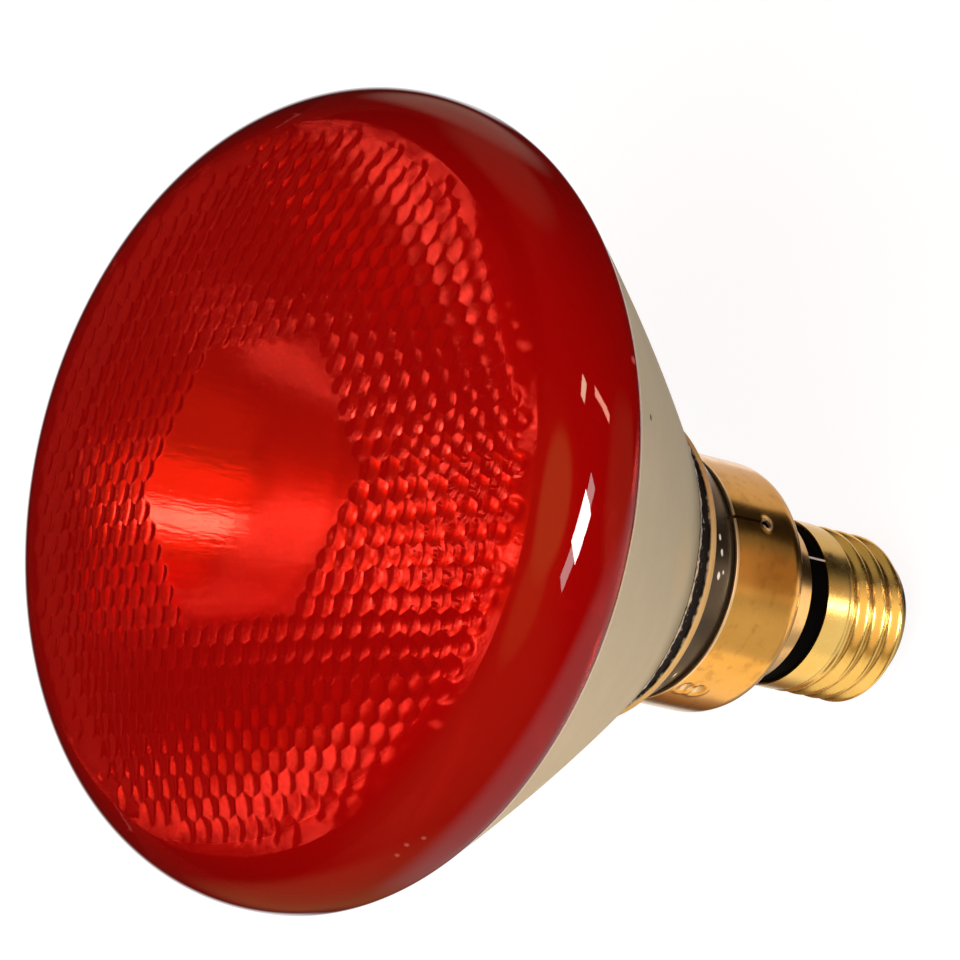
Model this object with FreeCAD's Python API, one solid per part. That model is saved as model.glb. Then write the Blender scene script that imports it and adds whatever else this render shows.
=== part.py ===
import FreeCAD, Part
import math
import os
from FreeCAD import Vector

# Infrared heat lamp: a pressed-glass reflector lamp with a skirted screw cap.
# Millimetres and degrees. The lamp's axis is Z, the centre contact is at z = 0
# and the lens faces up.

# Heights, stacked from the centre contact to the lens
contact_thickness = 0.9
button_height = 4.1
shell_length = 19.3
insulator_gap = 4.2
skirt_length = 22.5
neck_height = 16.3
bowl_height = 44.2
rim_back_height = 3.0
widest_band = 1.5

# Lens
lens_radius = 60.5
rim_tuck = 1.2
rim_corner_radius = 14.0
dome_radius = 286.0
lens_wall = 4.0
joint_width = 3.9
field_inset = 2.6

# Lenslets on the inside of the lens, round a smooth six-sided window
lenslet_pitch = 3.56
lenslet_height = 0.32
lenslet_turn = -18.0
window_rings = 6

# Reflector
bowl_wall = 3.2
bowl_bulge = 0.6
bowl_foot_radius = 28.0
groove_width = 1.2
groove_depth = 1.3
ridge_width = 1.5
ridge_height = 0.5
neck_inset = 1.7
neck_grip = 7.0
neck_wall = 4.8
floor_drop = 6.8
floor_wall = 5.5
floor_radius = 15.0
lead_hole_radius = 1.8
vent_radius = 1.2

# Cap skirt
skirt_radius = 19.5
skirt_wall = 0.5
shoulder_radius = 4.0
collar_top_radius = 15.0
collar_end_radius = 13.6
collar_height = 6.0
slit_angle = -55.0
slit_length = 7.2
slit_width = 0.6
slit_eye_radius = 0.7
crimp_angle = -142.5
crimp_count = 2
crimp_radius = 1.3
crimp_depth = 0.3
crimp_drops = (2.4, 4.8)

# Screw shell with its rolled round thread
thread_radius = 13.15
thread_depth = 1.1
thread_pitch = 3.629
thread_lead_in = 5.7
thread_crest_angle = -81.0
shell_wall = 0.35
shell_band = 4.6
shell_end_radius = 11.4

# Black insulators and the contact
insulator_overlap = 4.2
insulator_bore = 8.0
button_foot_radius = 7.2
button_plug = 3.0
button_bore = 1.0
contact_radius = 4.8
contact_eye_radius = 1.1
solder_sink = 0.15

# Filament, its posts and their seals
post_spacing = 16.0
post_radius = 0.9
filament_rise = 23.5
post_stand = 0.4
coil_radius = 1.45
coil_wire_radius = 0.3
ferrule_radius = 3.2
ferrule_wall = 0.5
ferrule_height = 4.0
tip_radius = 2.6
tip_length = 7.0

# Lead wires
lead_radius = 0.35
link_radius = 0.18
lead_bend_radius = 4.0
link_angle = -52.0

# Clearances
fit_clearance = 0.15
wire_clearance = 0.05

# Levels worked out from the stack
shell_end_z = contact_thickness + button_height
shell_rim_z = shell_end_z + shell_length
collar_end_z = shell_rim_z + insulator_gap
skirt_rim_z = collar_end_z + skirt_length
bowl_foot_z = skirt_rim_z + neck_height
rim_joint_z = bowl_foot_z + bowl_height
widest_z = rim_joint_z + rim_back_height
corner_z = widest_z + widest_band
floor_z = bowl_foot_z - floor_drop
floor_underside_z = floor_z - floor_wall
neck_end_z = skirt_rim_z - neck_grip
ferrule_z = floor_underside_z - ferrule_height
filament_z = floor_z + filament_rise

# Radii worked out from the fits
joint_radius = lens_radius - rim_tuck
joint_inner_radius = joint_radius - joint_width
field_radius = joint_inner_radius - field_inset
neck_radius = skirt_radius - skirt_wall - fit_clearance
neck_bore = neck_radius - neck_wall
shell_bore = thread_radius - shell_wall
insulator_radius = shell_bore - fit_clearance
plug_radius = shell_end_radius - shell_wall - fit_clearance
link_track_radius = insulator_radius + link_radius + wire_clearance

# The dome of the lens touches the rim's corner arc
corner_reach = lens_radius - rim_corner_radius
dome_centre_z = corner_z - math.sqrt((dome_radius - rim_corner_radius) ** 2 - corner_reach ** 2)
crown_z = dome_centre_z + dome_radius
inner_dome_radius = dome_radius - lens_wall

AXIS = Vector(0, 0, 1)
ORIGIN = Vector(0, 0, 0)
SEWING = 1e-5


def section(radius, z):
    """Point of a half section, in the plane that holds the axis."""
    return Vector(radius, 0, z)


def polar(radius, angle, z):
    """Point at a radius, an angle in degrees and a height."""
    turn = math.radians(angle)
    return Vector(radius * math.cos(turn), radius * math.sin(turn), z)


def line(start, end):
    return Part.makeLine(start, end)


def arc(start, end, centre):
    """Shorter arc from start to end about a centre."""
    radius = (start - centre).Length
    middle = (start + end) * 0.5 - centre
    return Part.Arc(start, centre + middle * (radius / middle.Length), end).toShape()


def bulged(start, end, rise):
    """Arc from start to end that stands off its chord by rise, on the right of the way."""
    chord = end - start
    side = Vector(chord.z, 0, -chord.x) / chord.Length
    return Part.Arc(start, (start + end) * 0.5 + side * rise, end).toShape()


def chain(points):
    return [line(start, end) for start, end in zip(points, points[1:])]


def turned(edges):
    """Solid of revolution of a closed half section."""
    return Part.Face(Part.Wire(edges)).revolve(ORIGIN, AXIS, 360)


def rod(radius, foot, height):
    return Part.makeCylinder(radius, height, foot, AXIS)


def drilled(body, tools):
    """One solid with tools cut out of it."""
    return body.cut(tools).Solids[0]


def sewn(faces):
    """Solid bounded by faces that share their edges."""
    skin = Part.makeCompound(faces)
    skin.sewShape(SEWING)
    solid = Part.Solid(skin.Shells[0])
    if solid.Volume < 0:
        solid.reverse()
    return solid


def bent_wire(points, radius, bend):
    """Round wire along straight runs, with a tangent arc at each inner point."""
    edges = []
    start = points[0]
    for before, point, after in zip(points, points[1:], points[2:]):
        back = (before - point).normalize()
        ahead = (after - point).normalize()
        half = 0.5 * back.getAngle(ahead)
        reach = bend / math.tan(half)
        bisector = (back + ahead).normalize()
        centre = point + bisector * (bend / math.sin(half))
        first = point + back * reach
        last = point + ahead * reach
        edges.append(line(start, first))
        edges.append(arc(first, last, centre))
        start = last
    edges.append(line(start, points[-1]))
    path = Part.Wire(edges)
    heading = (points[1] - points[0]).normalize()
    profile = Part.Wire(Part.makeCircle(radius, points[0], heading))
    return path.makePipeShell([profile], True, False)


def dome_point(x, y):
    """Point of the lens's inner dome above x, y."""
    return Vector(x, y, dome_centre_z + math.sqrt(inner_dome_radius ** 2 - x * x - y * y))


def lenslet_cells():
    """Middles of the lenslets: a close-packed lattice between the window and the field's edge."""
    turn = math.radians(lenslet_turn)
    reach = field_radius - lenslet_pitch / math.sqrt(3)
    count = int(reach / (lenslet_pitch * math.sqrt(0.75))) + 1
    cells = []
    for i in range(-2 * count, 2 * count + 1):
        for j in range(-2 * count, 2 * count + 1):
            along = lenslet_pitch * (i + 0.5 * j)
            across = lenslet_pitch * math.sqrt(0.75) * j
            ring = max(abs(i), abs(j), abs(i + j))
            if ring > window_rings and math.hypot(along, across) <= reach:
                x = along * math.cos(turn) - across * math.sin(turn)
                y = along * math.sin(turn) + across * math.cos(turn)
                cells.append((x, y))
    return cells


def lenslet_field():
    """Six facets for each lenslet, and the loops of edges that only one lenslet has."""
    facets = []
    border = {}
    cell_corner = lenslet_pitch / math.sqrt(3)
    for x, y in lenslet_cells():
        corners = []
        for k in range(6):
            angle = math.radians(lenslet_turn + 30 + 60 * k)
            corners.append(dome_point(x + cell_corner * math.cos(angle), y + cell_corner * math.sin(angle)))
        middle = dome_point(x, y)
        inward = (Vector(0, 0, dome_centre_z) - middle).normalize()
        peak = middle + inward * lenslet_height
        for start, end in zip(corners, corners[1:] + corners[:1]):
            facets.append(Part.Face(Part.makePolygon([start, end, peak, start])))
            key = frozenset((round(p.x, 3), round(p.y, 3)) for p in (start, end))
            if border.pop(key, None) is None:
                border[key] = line(start, end)
    loops = [Part.Wire(edges) for edges in Part.sortEdges(list(border.values()))]
    loops.sort(key=lambda loop: loop.BoundBox.DiagonalLength)
    return facets, loops


def dome_patch(outline, holes):
    """Smooth piece of the inner dome inside an outline."""
    surface = Part.Sphere()
    surface.Radius = inner_dome_radius
    surface.Axis = Vector(0, 1, 0)
    surface.Center = Vector(0, 0, dome_centre_z)
    patch = Part.Face(surface, outline)
    if holes:
        patch.cutHoles(holes)
    patch.fix(SEWING, SEWING, 100 * SEWING)
    return patch


def lens():
    """Domed glass lens with a rounded rim that sits on the reflector."""
    joint_outer = section(joint_radius, rim_joint_z)
    joint_inner = section(joint_inner_radius, rim_joint_z)
    widest = section(lens_radius, widest_z)
    corner_start = section(lens_radius, corner_z)
    corner_centre = section(corner_reach, corner_z)
    dome_centre = section(0, dome_centre_z)
    outward = (corner_centre - dome_centre).normalize()
    dome_start = dome_centre + outward * dome_radius
    crown = section(0, crown_z)
    inner_crown = section(0, dome_centre_z + inner_dome_radius)
    field_edge = dome_point(field_radius, 0)
    back_radius = (rim_tuck ** 2 + rim_back_height ** 2) / (2 * rim_tuck)
    blank = turned([
        line(joint_inner, joint_outer),
        arc(joint_outer, widest, section(lens_radius - back_radius, widest_z)),
        line(widest, corner_start),
        arc(corner_start, dome_start, corner_centre),
        arc(dome_start, crown, dome_centre),
        line(crown, inner_crown),
        arc(inner_crown, field_edge, dome_centre),
        line(field_edge, joint_inner),
    ])
    smooth = [f for f in blank.Faces if not is_inner_dome(f)]
    rim = next(e for f in blank.Faces if is_inner_dome(f) for e in f.Edges if is_field_edge(e))
    facets, (window_edge, field_border) = lenslet_field()
    margin = dome_patch(Part.Wire([rim]), [field_border])
    window = dome_patch(window_edge, [])
    return sewn(smooth + facets + [margin, window])


def is_inner_dome(face):
    return isinstance(face.Surface, Part.Sphere) and abs(face.Surface.Radius - inner_dome_radius) < SEWING


def is_field_edge(edge):
    round_edge = not edge.Degenerated and isinstance(edge.Curve, Part.Circle)
    return round_edge and abs(edge.Curve.Radius - field_radius) < SEWING


def reflector():
    """Pressed-glass bowl: a coated cone outside, a mirror inside, and a neck that the skirt grips."""
    rim_outer = section(joint_radius, rim_joint_z)
    rim_inner = section(joint_inner_radius, rim_joint_z)
    foot = section(bowl_foot_radius, bowl_foot_z)
    ridge_top_z = bowl_foot_z - groove_width
    ridge_end_z = ridge_top_z - ridge_width
    neck_top_radius = bowl_foot_radius - neck_inset
    groove = section(bowl_foot_radius - groove_depth, bowl_foot_z - 0.5 * groove_width)
    ridge_top = section(neck_top_radius, ridge_top_z)
    ridge_end = section(neck_top_radius, ridge_end_z)
    grip_top = section(neck_radius, skirt_rim_z)
    cone = (rim_outer - foot).normalize()
    inward = Vector(-cone.z, 0, cone.x)
    inner_foot = foot + inward * bowl_wall
    outside = [bulged(foot, rim_outer, bowl_bulge), line(rim_outer, rim_inner)]
    inside = [bulged(rim_inner, inner_foot, -bowl_bulge)]
    inside += chain([inner_foot, section(floor_radius, floor_z), section(0, floor_z),
                     section(0, floor_underside_z), section(neck_bore, floor_underside_z),
                     section(neck_bore, neck_end_z), section(neck_radius, neck_end_z),
                     grip_top, ridge_end])
    neck = [bulged(ridge_end, ridge_top, ridge_height)] + chain([ridge_top, groove, foot])
    bowl = turned(outside + inside + neck)
    holes = [rod(lead_hole_radius, section(x, floor_underside_z), floor_wall) for x in post_places()]
    holes.append(rod(vent_radius, section(0, floor_underside_z), floor_wall))
    return drilled(bowl, holes)


def post_places():
    return (-0.5 * post_spacing, 0.5 * post_spacing)


def cap_skirt():
    """Drawn brass skirt with a rounded shoulder and a collar, slit and crimped at its rim."""
    collar_top_z = collar_end_z + collar_height
    shoulder_z = collar_top_z + shoulder_radius
    hub = section(skirt_radius - shoulder_radius, shoulder_z)
    bore = skirt_radius - skirt_wall
    outer_side = section(skirt_radius, shoulder_z)
    outer_flat = section(skirt_radius - shoulder_radius, collar_top_z)
    inner_side = section(bore, shoulder_z)
    inner_flat = section(skirt_radius - shoulder_radius, collar_top_z + skirt_wall)
    outer = [line(section(skirt_radius, skirt_rim_z), outer_side), arc(outer_side, outer_flat, hub)]
    outer += chain([outer_flat, section(collar_top_radius, collar_top_z),
                    section(collar_end_radius, collar_end_z),
                    section(collar_end_radius - skirt_wall, collar_end_z),
                    section(collar_top_radius - skirt_wall, collar_top_z + skirt_wall), inner_flat])
    inner = [arc(inner_flat, inner_side, hub)]
    inner += chain([inner_side, section(bore, skirt_rim_z), section(skirt_radius, skirt_rim_z)])
    skirt = turned(outer + inner)
    return drilled(skirt, slit() + crimps())


def slit():
    """Cut in the skirt's rim with a round eye at its end."""
    depth = 4 * skirt_wall
    slot = Part.makeBox(depth, slit_width, slit_length)
    slot.translate(Vector(wall_middle() - 0.5 * depth, -0.5 * slit_width, skirt_rim_z - slit_length))
    slot.rotate(ORIGIN, AXIS, slit_angle)
    eye_foot = polar(wall_middle() - 0.5 * depth, slit_angle, skirt_rim_z - slit_length)
    eye = Part.makeCylinder(slit_eye_radius, depth, eye_foot, polar(1, slit_angle, 0))
    return [slot, eye]


def wall_middle():
    """Radius at the middle of the skirt's wall."""
    return skirt_radius - 0.5 * skirt_wall


def crimps():
    """Pairs of round dents below the rim, at even steps round the skirt."""
    ball = (crimp_radius ** 2 + crimp_depth ** 2) / (2 * crimp_depth)
    dents = []
    for k in range(crimp_count):
        for drop in crimp_drops:
            angle = crimp_angle + 360 * k / crimp_count
            middle = polar(skirt_radius - crimp_depth + ball, angle, skirt_rim_z - drop)
            dents.append(Part.makeSphere(ball, middle))
    return dents


def thread_profile(angle, z, inset):
    """Radius of the rolled shell: a wave that climbs with the angle and fades into both plain ends."""
    crest = shell_rim_z - thread_lead_in + thread_pitch * (angle - thread_crest_angle) / 360
    wave = 0.5 * thread_depth * (1 + math.cos(2 * math.pi * (z - crest) / thread_pitch))
    rolled = thread_radius - thread_depth + wave
    band = smooth_step((z - (shell_rim_z - shell_band)) / (0.5 * thread_pitch) + 1)
    tail = smooth_step(1 - (z - shell_end_z) / (0.5 * thread_pitch))
    radius = rolled + (thread_radius - rolled) * band
    return radius + (shell_end_radius - radius) * tail - inset


def smooth_step(t):
    t = min(max(t, 0), 1)
    return t * t * (3 - 2 * t)


def thread_skin(inset):
    """Helical skin of the screw shell, set in from its outside."""
    turns = 48
    rows = 8 * math.ceil(shell_length / thread_pitch)
    grid = []
    for row in range(rows + 1):
        z = shell_end_z + shell_length * row / rows
        angles = [360 * k / turns for k in range(turns)] + [0]
        grid.append([polar(thread_profile(a, z, inset), a, z) for a in angles])
    surface = Part.BSplineSurface()
    surface.interpolate(grid)
    return surface.toShape()


def screw_shell():
    """Brass shell with a rolled right-hand round thread, a plain band at its rim and an open end."""
    outside = thread_skin(0)
    inside = thread_skin(shell_wall)
    ends = []
    for z in (shell_end_z, shell_rim_z):
        rings = [end_ring(skin, z) for skin in (outside, inside)]
        ends.append(Part.makeFace(rings, "Part::FaceMakerBullseye"))
    return sewn([outside, inside] + ends)


def end_ring(skin, z):
    """Closed edge of a skin at one level."""
    return Part.Wire([e for e in skin.Edges if abs(e.BoundBox.ZMin - z) + abs(e.BoundBox.ZMax - z) < 0.01])


def insulator_ring():
    """Black ring that holds the skirt's collar and the screw shell apart."""
    foot_z = shell_rim_z - insulator_overlap
    height = insulator_gap + 2 * insulator_overlap
    ring = rod(insulator_radius, section(0, foot_z), height)
    return drilled(ring, [rod(insulator_bore, section(0, foot_z), height)])


def base_insulator():
    """Black button that closes the shell's end and carries the contact."""
    plug_top_z = shell_end_z + button_plug
    return turned(chain([
        section(button_bore, contact_thickness), section(button_foot_radius, contact_thickness),
        section(plug_radius, shell_end_z), section(plug_radius, plug_top_z),
        section(button_bore, plug_top_z), section(button_bore, contact_thickness)]))


def centre_contact():
    """Flat brass contact with an eye for the lead."""
    plate = rod(contact_radius, ORIGIN, contact_thickness)
    return drilled(plate, [rod(contact_eye_radius, ORIGIN, contact_thickness)])


def contact_solder():
    """Drop of solder that fills the contact's eye and takes the end of the lead."""
    tip = section(0, solder_sink)
    edge = section(contact_eye_radius, 2 * solder_sink)
    ball = (contact_eye_radius ** 2 + solder_sink ** 2) / (2 * solder_sink)
    top = section(contact_eye_radius, contact_thickness)
    return turned([arc(tip, edge, tip + AXIS * ball)]
                  + chain([edge, top, section(0, contact_thickness), tip]))


def filament():
    """Tungsten coil strung between the tops of the posts, with a half turn over so that both ends match."""
    turn_to_post = 0.75
    least_pitch = (post_radius + coil_wire_radius + fit_clearance) / turn_to_post
    turns = math.floor(post_spacing / least_pitch - 0.5) + 0.5
    pitch = post_spacing / turns
    helix = Part.makeHelix(pitch, post_spacing, coil_radius)
    start = Vector(coil_radius, 0, 0)
    heading = Vector(0, 2 * math.pi * coil_radius, pitch).normalize()
    profile = Part.Wire(Part.makeCircle(coil_wire_radius, start, heading))
    coil = Part.Wire(helix).makePipeShell([profile], True, True)
    coil.rotate(ORIGIN, AXIS, 90)
    coil.rotate(ORIGIN, Vector(0, 1, 0), 90)
    coil.translate(section(-0.5 * post_spacing, filament_z))
    return coil


def lead_post(x):
    """Stiff wire from the foot of its ferrule up through the floor to the filament."""
    foot_z = ferrule_z + ferrule_wall
    return rod(post_radius, section(x, foot_z), filament_z + post_stand - foot_z)


def ferrule(x):
    """Metal thimble sealed to the back of the reflector's floor."""
    cup = rod(ferrule_radius, section(x, ferrule_z), ferrule_height)
    hollow = rod(ferrule_radius - ferrule_wall, section(x, ferrule_z + ferrule_wall), ferrule_height)
    return drilled(cup, [hollow])


def exhaust_tip():
    """Stub of the glass tube that the lamp was filled through, melted shut at its end."""
    wall = tip_radius - vent_radius
    tip_z = floor_underside_z - tip_length
    centre_z = tip_z + tip_radius
    return turned([
        line(section(vent_radius, floor_underside_z), section(tip_radius, floor_underside_z)),
        line(section(tip_radius, floor_underside_z), section(tip_radius, centre_z)),
        arc(section(tip_radius, centre_z), section(0, tip_z), section(0, centre_z)),
        line(section(0, tip_z), section(0, tip_z + wall)),
        arc(section(0, tip_z + wall), section(vent_radius, centre_z), section(0, centre_z)),
        line(section(vent_radius, centre_z), section(vent_radius, floor_underside_z)),
    ])


def centre_lead():
    """Wire from one ferrule down the middle of the cap to the solder."""
    x = post_places()[1]
    points = [section(x, ferrule_z), section(x, neck_end_z),
              section(0, collar_end_z), section(0, contact_thickness)]
    return bent_wire(points, lead_radius, lead_bend_radius)


def side_lead():
    """Fine wire from the other ferrule, out between ring and collar, across the gap to the shell's rim."""
    x = post_places()[0]
    ring_top_z = collar_end_z + insulator_overlap
    points = [section(x, ferrule_z), section(x, neck_end_z),
              polar(link_track_radius, link_angle, ring_top_z + lead_bend_radius),
              polar(link_track_radius, link_angle, shell_rim_z)]
    return bent_wire(points, link_radius, lead_bend_radius)


pieces = {
    "lens": lens(),
    "reflector": reflector(),
    "cap_skirt": cap_skirt(),
    "insulator_ring": insulator_ring(),
    "screw_shell": screw_shell(),
    "base_insulator": base_insulator(),
    "centre_contact": centre_contact(),
    "contact_solder": contact_solder(),
    "filament": filament(),
    "exhaust_tip": exhaust_tip(),
    "centre_lead": centre_lead(),
    "side_lead": side_lead(),
}
for number, place in enumerate(post_places(), start=1):
    pieces[f"lead_post_{number}"] = lead_post(place)
    pieces[f"ferrule_{number}"] = ferrule(place)

os.makedirs("parts", exist_ok=True)
for name, piece in pieces.items():
    piece.exportStep(f"parts/{name}.step")
    print(name, piece.ShapeType, piece.isValid(), round(piece.Volume, 2))
print("overall length", round(crown_z, 2))
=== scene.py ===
import bpy
import math
import numpy as np
from mathutils import Matrix, Vector


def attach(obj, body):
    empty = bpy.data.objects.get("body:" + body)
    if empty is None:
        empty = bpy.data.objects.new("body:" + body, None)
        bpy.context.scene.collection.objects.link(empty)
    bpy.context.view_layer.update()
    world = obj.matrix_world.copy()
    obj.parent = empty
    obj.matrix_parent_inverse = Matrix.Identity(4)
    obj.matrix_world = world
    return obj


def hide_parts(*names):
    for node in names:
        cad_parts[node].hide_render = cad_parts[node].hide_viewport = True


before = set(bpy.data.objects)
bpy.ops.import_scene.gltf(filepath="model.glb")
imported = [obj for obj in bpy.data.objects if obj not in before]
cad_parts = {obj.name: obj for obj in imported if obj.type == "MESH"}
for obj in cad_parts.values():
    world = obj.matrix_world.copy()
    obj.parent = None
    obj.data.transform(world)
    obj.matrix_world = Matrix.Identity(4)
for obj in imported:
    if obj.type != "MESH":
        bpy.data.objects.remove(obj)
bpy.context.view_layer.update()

# Sizes in millimetres and degrees, as in the part's source. The lamp's axis is Z.
MM = 0.001
HAIR = 0.01

# Lens
LENS_RADIUS = 60.5
JOINT_RADIUS = 59.3
JOINT_INNER = 55.4
JOINT_Z = 111.5
JOINT_GAP = 0.05
WIDEST_Z = 114.5
CORNER_Z = 116.0
CORNER_RADIUS = 14.0
DOME_RADIUS = 286.0
DOME_INNER = 282.0
FIELD_RADIUS = 52.8
LENSLET_PITCH = 3.56
LENSLET_HEIGHT = 0.32
LENSLET_TURN = -18.0
LENSLET_STEPS = 3
WINDOW_RINGS = 6

# Reflector
BOWL_FOOT = (28.0, 67.3)
BOWL_BULGE = 0.6
BOWL_WALL = 3.2
COAT_RAGGED = 0.09
NECK_RADIUS = 18.85
NECK_BORE = 14.05
NECK_END_Z = 44.0
NECK_TOP = (26.3, 64.6)
RIDGE_Z = (60.4, 62.0)
RIDGE_RISE = 0.4
GROOVE_Z = (62.4, 66.6)
GROOVE_DEPTH = 0.5
FLOOR_Z = 60.5
FLOOR_RADIUS = 15.0
FLOOR_FIRST_RING = 2.0
UNDERSIDE_Z = 55.0
UNDERSIDE_FIRST_RING = 4.0

# Skirt
SKIRT_RADIUS = 19.5
SKIRT_WALL = 0.5
SKIRT_BORE = SKIRT_RADIUS - SKIRT_WALL
SKIRT_RIM_Z = 51.0
SKIRT_RIM_EDGE = 0.12
SHOULDER_RADIUS = 4.0
COLLAR_TOP = (15.0, 34.5)
COLLAR_END = (13.6, 28.5)
COLLAR_EDGE = 0.08
SLIT_ANGLE = -55.0
SLIT_END_Z = 43.8
SLIT_WIDTH = 0.6
SLIT_EYE = 0.7
SLIT_LIP = 0.12
CRIMP_ANGLES = (-142.5, 37.5)
CRIMP_Z = (48.6, 46.2)
CRIMP_RADIUS = 1.3
CRIMP_DEPTH = 0.3
CRIMP_LIP = 0.1

# Screw shell
THREAD_RADIUS = 13.15
THREAD_DEPTH = 1.1
THREAD_PITCH = 3.629
THREAD_CREST_Z = 18.6
THREAD_CREST_ANGLE = -81.0
SHELL_WALL = 0.35
SHELL_BAND = 4.6
SHELL_END_RADIUS = 11.4
SHELL_Z = (5.0, 24.3)

# Insulators and end contact
RING_RADIUS = 12.65
RING_BORE = 8.0
RING_Z = (20.1, 32.7)
RING_EDGE = 0.2
BUTTON_FOOT = 7.2
BUTTON_TOE = (0.4, 0.25)
BUTTON_BULGE = 0.25
BUTTON_PLUG = 10.9
BUTTON_TOP_Z = 8.0
BUTTON_EDGE = 0.3
BUTTON_BORE = 1.0
CONTACT_RADIUS = 4.8
CONTACT_EDGE = 0.4
CONTACT_EYE = 1.1
CONTACT_EYE_EDGE = 0.15
CONTACT_THICKNESS = 0.9
SOLDER_SINK = 0.15
SOLDER_GAP = 0.02

# Mesh steps round the axis, and the angle between faces above which an edge is sharp
BOWL_COLUMNS = 360
SKIRT_COLUMNS = 361
SHELL_COLUMNS = 240
SHELL_ROWS = 110
INSULATOR_COLUMNS = 180
CONTACT_COLUMNS = 120
SOLDER_COLUMNS = 48
CREASE = 28.0
LENS_CREASE = 20.0

CORNER_REACH = LENS_RADIUS - CORNER_RADIUS
DOME_Z = CORNER_Z - math.sqrt((DOME_RADIUS - CORNER_RADIUS) ** 2 - CORNER_REACH ** 2)
CELL_CORNER = LENSLET_PITCH / math.sqrt(3)
CELL_ROW = LENSLET_PITCH * math.sqrt(0.75)


def run(start, end, count):
    """Points on a straight run: start + t (end - start), without the end."""
    t = np.linspace(0, 1, count, endpoint=False)[:, None]
    return np.array(start) + t * (np.array(end) - np.array(start))


def bow(start, end, rise, count):
    """Points on a shallow bow: the straight run, moved to its right by rise times 4 t (1 - t)."""
    t = np.linspace(0, 1, count, endpoint=False)[:, None]
    chord = np.array(end, float) - np.array(start, float)
    side = np.array([chord[1], -chord[0]]) / np.hypot(*chord)
    return np.array(start) + t * chord + side * rise * 4 * t * (1 - t)


def sweep(centre, radius, first, last, count):
    """Points on an arc: centre + radius (cos a, sin a) with a from first to last, without the last."""
    a = np.radians(np.linspace(first, last, count, endpoint=False))
    return np.array(centre) + radius * np.stack([np.cos(a), np.sin(a)], axis=-1)


def section(*runs):
    """One profile of points (r, z) from runs and single points, end to end."""
    return np.concatenate([np.atleast_2d(np.array(points, float)) for points in runs])


def carry_round(radius, height, angle):
    """Points (r cos a, r sin a, z), with radius, height and angle spread over one grid."""
    radius, height, angle = np.broadcast_arrays(radius, height, angle)
    return np.stack([radius * np.cos(angle), radius * np.sin(angle), height], axis=-1)


def joined(index, axis):
    """A grid of point numbers with its first row (axis 0) or column (axis 1) repeated at the end."""
    return np.concatenate([index, index.take([0], axis)], axis)


def grid_faces(index):
    """Quads between neighbouring rows and columns of a grid of point numbers."""
    low, high = index[:-1], index[1:]
    return np.stack([low[:, :-1], low[:, 1:], high[:, 1:], high[:, :-1]], -1).reshape(-1, 4)


def fan_faces(pole, edge):
    """Triangles from a pole to each step of a closed edge."""
    return np.stack([edge, np.roll(edge, -1), np.full(len(edge), pole)], axis=-1)


def lathe(profile, columns, swell=None):
    """Surface of revolution: each profile point (r, z) carried round the axis.

    Ends on the axis become poles; any other profile is closed on itself.
    swell(a, r, z) is added to the radius.
    """
    angle = np.linspace(-math.pi, math.pi, columns, endpoint=False)
    foot, head = profile[0, 0] == 0, profile[-1, 0] == 0
    rows = profile[int(foot):len(profile) - int(head)]
    radius, height = rows[:, :1], rows[:, 1:]
    if swell:
        radius = radius + swell(angle, radius, height)
    points = carry_round(radius, height, angle).reshape(-1, 3)
    index = np.arange(len(points)).reshape(-1, columns)
    grid = joined(index, 1)
    triangles = [np.empty((0, 3), int)]
    if foot:
        triangles.append(fan_faces(len(points), index[0])[:, ::-1])
        points = np.vstack([points, [0, 0, profile[0, 1]]])
    if head:
        triangles.append(fan_faces(len(points), index[-1]))
        points = np.vstack([points, [0, 0, profile[-1, 1]]])
    return points, grid_faces(grid if foot or head else joined(grid, 0)), np.concatenate(triangles)


def piece(name, shape, finishes, zone=None, crease=CREASE):
    """Mesh object from points, quads and triangles. zone(centres) gives each face its finish."""
    points, quads, triangles = shape
    mesh = bpy.data.meshes.new(name)
    mesh.from_pydata((points * MM).tolist(), [], quads.tolist() + triangles.tolist())
    mesh.polygons.foreach_set("use_smooth", np.ones(len(mesh.polygons), bool))
    mesh.set_sharp_from_angle(angle=math.radians(crease))
    for finish in finishes:
        mesh.materials.append(finish)
    if zone:
        middles = np.concatenate([points[quads].mean(axis=1), points[triangles].mean(axis=1)])
        mesh.polygons.foreach_set("material_index", zone(middles).astype(np.int32))
    mesh.update()
    made = bpy.data.objects.new(name, mesh)
    bpy.context.scene.collection.objects.link(made)
    return made


def stand_for(node, made):
    """Puts a finished piece in the place of its CAD node."""
    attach(made, "root")
    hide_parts(node)
    return made


# Shape of the lens

def cell_index(x, y):
    """Lattice numbers i, j of the lenslet whose six-sided cell holds x, y.

    The three cube numbers i, j, -i - j are rounded, and the one that moved most is set from the others.
    """
    turn = math.radians(LENSLET_TURN)
    along = x * math.cos(turn) + y * math.sin(turn)
    across = y * math.cos(turn) - x * math.sin(turn)
    j = across / CELL_ROW
    i = along / LENSLET_PITCH - 0.5 * j
    cube = np.stack([i, j, -i - j])
    near = np.round(cube)
    worst = np.abs(near - cube).argmax(axis=0)
    others = near.sum(axis=0) - np.take_along_axis(near, worst[None], 0)[0]
    np.put_along_axis(near, worst[None], -others[None], 0)
    return near[0], near[1]


def cell_middle(i, j):
    """Place of a lenslet: pitch (i + j / 2) along the lattice and a row's height times j across, turned."""
    turn = math.radians(LENSLET_TURN)
    along = LENSLET_PITCH * (i + 0.5 * j)
    across = CELL_ROW * j
    return along * math.cos(turn) - across * math.sin(turn), along * math.sin(turn) + across * math.cos(turn)


def is_lenslet(i, j):
    """Cells outside the six-sided window and wholly inside the field's edge."""
    ring = np.maximum(np.maximum(np.abs(i), np.abs(j)), np.abs(i + j))
    return (ring > WINDOW_RINGS) & (np.hypot(*cell_middle(i, j)) <= FIELD_RADIUS - CELL_CORNER)


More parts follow.
